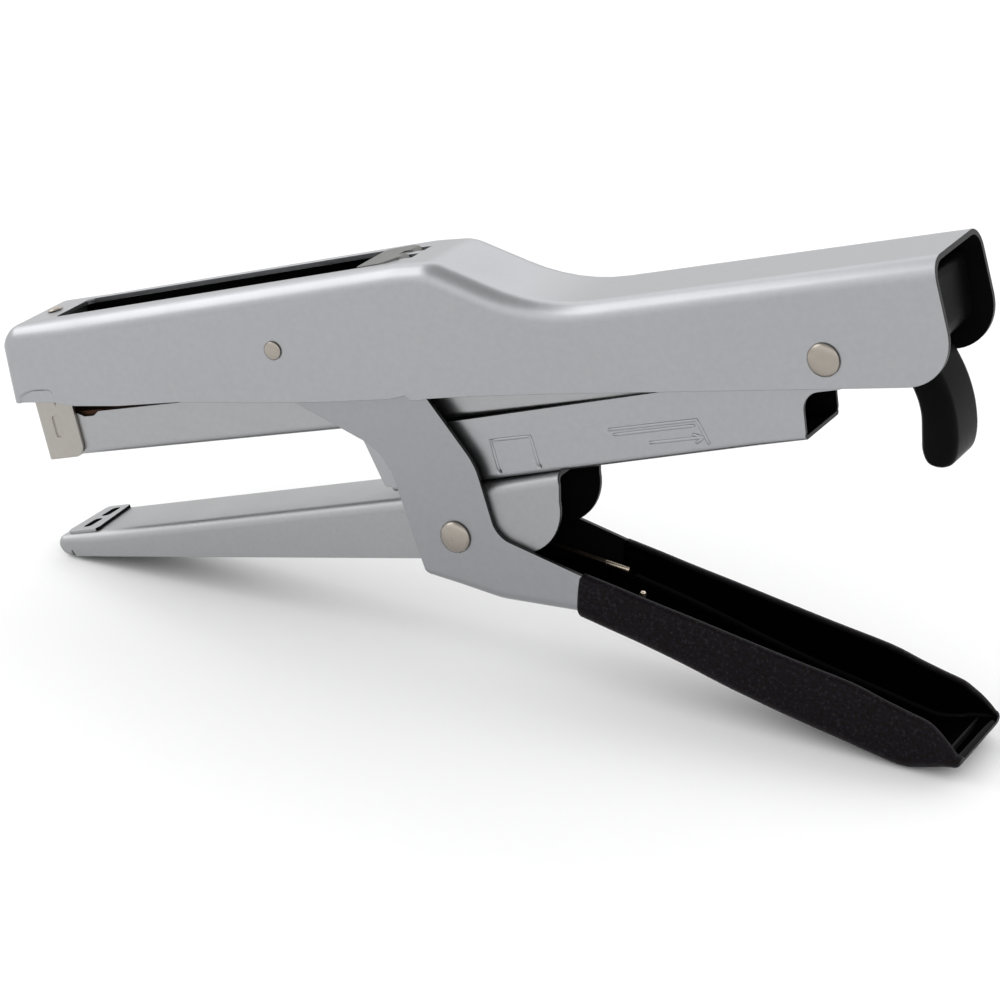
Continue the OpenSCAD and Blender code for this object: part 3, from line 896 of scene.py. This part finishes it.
# Painted shade: the grooves and the pad's rear face are darker
for p in pad.data.polygons:
    sunk = p.center.z < 0.45 and 2.5 < p.center.x < 4.6 and abs(p.center.y) < 5.3
    if p.normal.x > 0.5 or (sunk and p.normal.z > -0.5):
        p.material_index = 1
piece(pad, clinch_place, [ANVIL, PAD_PAINTED_SHADE], "jaw", ["clinch_plate"])

GUIDE_HALF = 6.9


def guide_floor(x):
    return -19.35 + (x - 77.1) * 9.4 / 84.7


def guide_bend(x, z):
    return between([(152, 1.2), (161.2, 0.8)], x)


guide_web = along([(161.2, guide_floor(161.2)), (78.4, guide_floor(78.4))], 10)


guide_edge = rounded([
    (78.3, -18.0), (77.0, -18.2, 0.8), (73.9, -8.1, 0.8), (143, -0.2, 12), (162, 7, 4),
    (168.4, 11.9, 0.5), (174.6, 9, 4.4), (174.6, 0.5, 4.4), (168.4, -1.3, 4), (161.7, -1.9, 3.4),
    (161.3, -8.6), (160.7, -8.6)], False)
guide = skin(guide_web, guide_edge[1:-1], GUIDE_HALF, guide_bend).made("guide_sheet", False)
thicken(guide, 0.7)
carve(guide, shank_bore(REAR_PIVOT, 12))
soften(guide, 0.11)


def ridges(lines, y, width=0.3, height=0.2):
    """Raised lines pressed in the wall at y: low round bars half sunk in it."""
    out = Form()
    for line in lines:
        bar = tube([(x, 0, z) for x, z in along(line, 1.5)], width, 8)
        out.join(bar, Matrix.Translation((0, y, 0)) @ Matrix.Diagonal((1, height / width, 1, 1)))
    return out


marks = [[(101.3, -15.2), (100.7, -9.4), (108.8, -8.7), (109.5, -14.3)],
         [(124.5, -7.7), (141.6, -6.1), (143.2, -10.4)], [(125.3, -8.6), (141.0, -7.1)],
         [(132, -10.1), (142.4, -9.2)], [(140.4, -8.7), (142.4, -9.2), (140.8, -10.2)]]
pressed = ridges(marks, -GUIDE_HALF).join(ridges(marks, GUIDE_HALF))
for x, z in ((101.3, -15.2), (109.5, -14.3)):
    for side in (-1, 1):
        pressed.join(lathe([(0, -0.1)] + dome(0.46, 0.2, 0.03, 5), 16),
                     across(x, GUIDE_HALF, z, side))
raised = pressed.made("guide_pressed_marks")
piece(guide, SIDE, [STEEL, SHEET_PAINTED_SHADE, EDGE_PAINTED_SHADE], "jaw", ["guide_channel"])
piece(raised, SIDE, [STEEL], "jaw")

# ---------------------------------------------------------------- lever

LEVER_HALF = 9.15
lever_base = [(178.0, -66.0), (170.4, -66.7, 5.1), (130.2, -48.4, 40), (114.6, -41.2, 8),
              (97.5, -38.8, 12), (82.0, -33.51)]
lever_web = along(rounded(lever_base, False, 6), 5)


def lever_bend(x, z):
    return between([(82, 1.2), (90, 1.9), (96, 2.2), (170, 2.2), (178, 1.0)], x)


lever_edge = rounded([
    (82.0, -32.4), (81.8, -32.0), (79.9, -10.8, 9), (57, 2.1, 3), (57.2, 13, 3), (87.3, 5, 3),
    (97.9, -13.2, 12), (99.5, -26.6, 5), (116.4, -34.3, 2), (119.5, -36.9, 3),
    (158, -52.1, 40), (174, -60.9, 8), (177.9, -65.3)], False)
lever = skin(lever_web, lever_edge[1:-1], LEVER_HALF, lever_bend).made("lever_sheet_plates", False)
thicken(lever, 0.85)


def swung(p, degrees):
    a = math.radians(degrees)
    return Vector((p[0] * math.cos(a) - p[1] * math.sin(a),
                   p[0] * math.sin(a) + p[1] * math.cos(a)))


JAW_TRAVEL, LEVER_TRAVEL = 8.6, 24.1
SLOT_R = 1.5
TRACK_STEPS, CAP_STEPS = 10, 12


def pin_in_lever(share):
    """Where the frame's pin is in the lever's own view, at that share of the squeeze."""
    rear_2d, lever_2d = REAR_PIVOT.xz, LEVER_PIVOT.xz
    pivot = rear_2d + swung(lever_2d - rear_2d, -JAW_TRAVEL * share)
    return lever_2d + swung(Vector(GUIDE_PIN) - pivot, (JAW_TRAVEL - LEVER_TRAVEL) * share)


def slot_outline():
    """The slot's outline about the pin's track, with round ends."""
    track = [pin_in_lever(i / TRACK_STEPS) for i in range(TRACK_STEPS + 1)]
    steps = [track[min(i + 1, TRACK_STEPS)] - track[max(i - 1, 0)]
             for i in range(TRACK_STEPS + 1)]
    quarter = math.pi / 2
    caps = [math.pi * k / CAP_STEPS for k in range(1, CAP_STEPS)]
    stations = [(i, quarter) for i in range(TRACK_STEPS + 1)]
    stations += [(TRACK_STEPS, quarter - cap) for cap in caps]
    stations += [(i, -quarter) for i in range(TRACK_STEPS, -1, -1)]
    stations += [(0, -quarter - cap) for cap in caps]
    out = []
    for i, turn in stations:
        a = math.atan2(steps[i].y, steps[i].x) + turn
        out.append((track[i].x + SLOT_R * math.cos(a), track[i].y + SLOT_R * math.sin(a)))
    return out


slot_cut = prism(slot_outline(), -12, 12)
corner_cut = prism(rounded([(70, -14), (80.4, -14), (83.55, -34.04, 2.2), (90, -36.3),
                            (90, -44), (70, -44)]), -12, 12)
carve(lever, slot_cut, corner_cut)
soften(lever, 0.11)
# The black dip ends behind the plates: above it their inside is bare steel, which gets the painted
# shade of the sheets' insides
for p in lever.data.polygons:
    if p.material_index == 1 and p.center.x < 100 and p.center.z > -20:
        p.material_index = 3
piece(lever, SIDE, [LEVER_PAINTED_SHADE, LEVER_INSIDE, EDGE_PAINTED_SHADE, SHEET_PAINTED_SHADE], "lever",
      ["lever_channel"])

# The dipped grip, station by station: underside x, z, rim x, z, thickness
GRIP_HALF = 10.05
GRIP = [(113.4, -41.9, 115.5, -33.6, 2.25), (118.6, -44.2, 121.3, -35.9, 2.25),
        (124.5, -46.8, 127.4, -38.4, 2.25), (131.8, -50.3, 135.0, -41.4, 2.25),
        (139.8, -54.4, 143.4, -44.8, 2.25), (149.8, -59.1, 153.4, -48.8, 2.25),
        (159.8, -63.4, 163.2, -52.6, 2.25), (166.0, -66.1, 168.5, -55.4, 2.25),
        (170.3, -67.7, 172.5, -57.4, 2.25), (173.5, -67.8, 175.6, -58.9, 2.2),
        (175.3, -67.7, 177.0, -60.0, 2.2), (176.8, -67.6, 178.4, -61.5, 1.9),
        (178.4, -67.3, 179.6, -63.1, 1.7), (179.7, -67.0, 180.6, -64.7, 1.6)]


def grip_section(tall, thick):
    """Half the section (y, height) from the middle of the underside round to the floor."""
    r = min(2.7, tall * 0.45)
    q = min(1.3, thick * 0.55, tall * 0.4)
    band = min(4.0, (tall - r) * 0.6)
    lean_in = min(0.3, band * 0.1)
    out = [(0, 0)] + arc(GRIP_HALF - r, r, r, -90, 0, 5)
    for share in (0.0, 0.33, 0.66):
        h = tall - q - (band - q) * (1 - share)
        out.append((GRIP_HALF - lean_in * share ** 2, max(h, r + 0.02 + 0.02 * share)))
    out += arc(GRIP_HALF - q - lean_in, tall - q, q, 0, 90, 5)
    q = min(0.8, thick * 0.3, tall * 0.4)
    out += arc(GRIP_HALF - thick + q - lean_in * 0.6, tall - q, q, 90, 180, 4)
    r = max(0.04, min(1.6, (tall - q - thick) * 0.5))
    low = min(thick, tall - q - r)
    out += [(GRIP_HALF - thick - lean_in * 0.3, low + r + (tall - q - low - r) * 0.5)]
    out += arc(GRIP_HALF - thick - r, low + r, r, 0, -90, 4)
    return out + [(0, low)]


def shrunk(section, depth):
    """The section with its outline moved inwards."""
    out = []
    for k, p in enumerate(section):
        before, after = Vector(section[k - 1]), Vector(section[(k + 1) % len(section)])
        t = (after - before).normalized()
        out.append((p[0] - t.y * depth, p[1] + t.x * depth))
    return out


grip_rings = []
for i, (x0, z0, x1, z1, thick) in enumerate(through(GRIP, 4)):
    foot, rim = Vector((x0, 0, z0)), Vector((x1, 0, z1))
    tall = (rim - foot).length
    half_ring = grip_section(tall, thick)
    ring = half_ring + [(-y, h) for y, h in reversed(half_ring[1:-1])]
    rise = (rim - foot) / tall
    on = Vector((rise.z, 0, -rise.x))
    if i == 0:
        # The front edge is rounded over
        for depth in (0.4, 0.12):
            grip_rings.append([foot + rise * h + Vector((0, y, 0)) - on * (depth + 0.1)
                               for y, h in shrunk(ring, depth)])
    grip_rings.append([foot + rise * h + Vector((0, y, 0)) for y, h in ring])
# So is the lip at the tip, 1 mm long, which keeps 0.4 of its height and 0.88 of its width
middle = tall / 2
for turn in (20, 40, 60, 80):
    out, narrow = math.sin(math.radians(turn)), 1 - math.cos(math.radians(turn))
    low, wide = 1 - 0.6 * narrow, 1 - 0.12 * narrow
    grip_rings.append([foot + on * out + rise * (middle + (h - middle) * low)
                       + Vector((0, y * wide, 0)) for y, h in ring])
# From this column on, over the rim, the skin is the inner one
TURN_OVER = 18
columns = len(ring)
inside = [1 if TURN_OVER <= k < columns - TURN_OVER else 0 for k in range(columns)]
grip = loft(grip_rings, inside).made("dipped_grip")
piece(grip, SIDE, [VINYL, VINYL_INSIDE], "lever", ["grip_sleeve"])

large_rivet("lever_pivot_rivet", 3.0, 1.4, LEVER_PIVOT, LEVER_HALF, "lever", "lever_rivet")

COIL_R = 3.5
COIL_TURNS = 2.6
COIL_INNER, COIL_OUTER = 2.6, 5.6
WIRE_R = 0.6
coils, short_legs = Form(), Form()
down, up = math.radians(-18), math.radians(20)


def leg_point(angle, distance, offset, y):
    """A point that far out from the pivot at that angle, and offset across it."""
    x = LEVER_PIVOT.x + distance * math.cos(angle) - offset * math.sin(angle)
    z = LEVER_PIVOT.z + distance * math.sin(angle) + offset * math.cos(angle)
    return (x, y, z)


for side in (-1, 1):
    # The coil ends at its underside, where the long leg leaves it
    ring = helix((LEVER_PIVOT.x, LEVER_PIVOT.z), COIL_R, side * COIL_INNER, side * COIL_OUTER,
                 COIL_TURNS, down - math.pi / 2 - math.tau * COIL_TURNS)
    # The near leg is longer, and ends in a hook up the plate
    end, hook_up = (35.5, 3.0) if side < 0 else (28.0, 0)
    leg = [leg_point(down, end * k / 6, -COIL_R, side * COIL_OUTER) for k in (1, 2, 3, 4, 4.9)]
    tip = [leg_point(down, end * 0.82, -COIL_R, side * COIL_OUTER),
           leg_point(down, end - 0.6, -COIL_R, side * COIL_OUTER)]
    if hook_up:
        tip += [leg_point(down, end, -COIL_R + 0.5, side * COIL_OUTER),
                leg_point(down, end, -COIL_R + hook_up, side * COIL_OUTER)]
    # The coil and the long leg get the painted shade (kind 1); the tip keeps the wire's own colour
    coils.join(tube(ring + leg, WIRE_R, 10, 1)).join(tube(tip, WIRE_R, 12))
    short = [leg_point(up, d, COIL_R, side * COIL_INNER) for d in (-0.5, 5, 10, 14)]
    short_legs.join(tube(short, WIRE_R, 10))
coil_obj = coils.made("lever_spring_coils")
piece(coil_obj, SIDE, [WIRE, WIRE_PAINTED_SHADE], "lever", ["lever_spring"])
# The short legs get the painted shade as well
piece(short_legs.made("lever_spring_legs"), SIDE, [WIRE_PAINTED_SHADE], "jaw")

# ---------------------------------------------------------------- CAD nodes that stay

kept = {"driver_blade": HARD, "rear_spacers": PLAIN, "staple_rail": PLAIN, "rail_rivets": NICKEL,
        "rear_bush": PLAIN, "jaw_rivets": NICKEL, "lever_bush": PLAIN, "pusher": HARD}
for name, material in kept.items():
    node = frame["nodes"][name]
    node.data.materials.clear()
    node.data.materials.append(material)
    node.data.polygons.foreach_set("use_smooth", [True] * len(node.data.polygons))
    weld = node.modifiers.new("weld", "WELD")
    weld.merge_threshold = 2e-6
    edges = node.modifiers.new("edges", "BEVEL")
    edges.width = 0.00008
    edges.segments = 2
    edges.limit_method = "ANGLE"
    edges.angle_limit = math.radians(35)
    edges.use_clamp_overlap = True
    normals = node.modifiers.new("normals", "WEIGHTED_NORMAL")
    normals.keep_sharp = True

# ---------------------------------------------------------------- stage

FLOOR_SIZE = 6.0
FLOOR_GAP = 0.0003
floor_mesh = bpy.data.meshes.new("floor")
corner = FLOOR_SIZE / 2
floor_mesh.from_pydata([(-corner, -corner, 0), (corner, -corner, 0), (corner, corner, 0),
                        (-corner, corner, 0)], [], [(0, 1, 2, 3)])
floor = bpy.data.objects.new("floor", floor_mesh)
bpy.context.scene.collection.objects.link(floor)
floor.location.z = -FLOOR_GAP
paper = bpy.data.materials.new("studio_paper")
paper.use_nodes = True
sheet = paper.node_tree.nodes["Principled BSDF"].inputs
sheet["Base Color"].default_value = (0.9, 0.9, 0.9, 1)
sheet["Roughness"].default_value = 0.9
floor_mesh.materials.append(paper)
floor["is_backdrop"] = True

world = bpy.data.worlds.new("studio")
bpy.context.scene.world = world
world.use_nodes = True
nodes, links = world.node_tree.nodes, world.node_tree.links
background = nodes["Background"]
coordinate = nodes.new("ShaderNodeTexCoord")
split = nodes.new("ShaderNodeSeparateXYZ")
links.new(coordinate.outputs["Generated"], split.inputs["Vector"])


def sky(stops):
    """Brightness by height above the horizon."""
    node = nodes.new("ShaderNodeValToRGB")
    while len(node.color_ramp.elements) < len(stops):
        node.color_ramp.elements.new(0.5)
    for element, (position, value) in zip(node.color_ramp.elements, stops):
        element.position = position
        element.color = (value, value, value, 1)
    links.new(split.outputs["Z"], node.inputs["Fac"])
    return node.outputs["Color"]


front_sky = sky([(0.0, 0.85), (0.3, 1.0), (0.48, 1.2), (0.66, 1.15), (0.86, 0.6), (1.0, 0.5)])
back_sky = sky([(0.0, 0.65), (0.2, 0.9), (0.5, 1.45), (0.66, 1.4), (0.84, 0.6), (1.0, 0.5)])
side = nodes.new("ShaderNodeMapRange")
side.inputs["From Min"].default_value = -0.15
side.inputs["From Max"].default_value = 0.25
side.interpolation_type = "SMOOTHSTEP"
links.new(split.outputs["Y"], side.inputs["Value"])
mixed = nodes.new("ShaderNodeMix")
mixed.data_type = "RGBA"
links.new(side.outputs["Result"], mixed.inputs["Factor"])
links.new(front_sky, mixed.inputs[6])
links.new(back_sky, mixed.inputs[7])
links.new(mixed.outputs[2], background.inputs["Color"])
background.inputs["Strength"].default_value = 1.25


def way_to(azimuth, elevation):
    """The direction at that azimuth from the near side and that height, in degrees."""
    a, e = math.radians(azimuth), math.radians(elevation)
    return Vector((math.sin(a) * math.cos(e), -math.cos(a) * math.cos(e), math.sin(e)))


def softbox(name, azimuth, elevation, distance, size, power):
    way = way_to(azimuth, elevation)
    light = bpy.data.lights.new(name, "AREA")
    light.shape = "RECTANGLE"
    light.size, light.size_y = size
    light.energy = power
    obj = bpy.data.objects.new(name, light)
    obj.location = Vector((0, 0, 0.04)) + way * distance
    obj.rotation_mode = "QUATERNION"
    obj.rotation_quaternion = (-way).to_track_quat("-Z", "Y")
    bpy.context.scene.collection.objects.link(obj)


softbox("side", -80, 38, 0.8, (0.6, 0.4), 1.1)

# The viewing angle in degrees from the near side, and the distance in metres
LENS = 115.2
AZIMUTH, ELEVATION, DISTANCE, ROLL = 28.75, 23.57, 0.5691, -0.248
AIM = Vector((0.0050094, 0, 0.0278994))
camera = bpy.data.cameras.new("camera")
camera.sensor_width = 36
camera.lens = LENS
camera.clip_start, camera.clip_end = 0.05, 20
camera_object = bpy.data.objects.new("camera", camera)
bpy.context.scene.collection.objects.link(camera_object)
bpy.context.scene.camera = camera_object
back = way_to(AZIMUTH, ELEVATION)
look = (-back).to_track_quat("-Z", "Y").to_matrix().to_4x4()
level = Matrix.Rotation(math.radians(ROLL), 4, "Y")
camera_object.matrix_world = (Matrix.Translation(AIM) @ level
                              @ Matrix.Translation(back * DISTANCE) @ look)

bpy.context.scene.view_settings.view_transform = "Standard"

low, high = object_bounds()
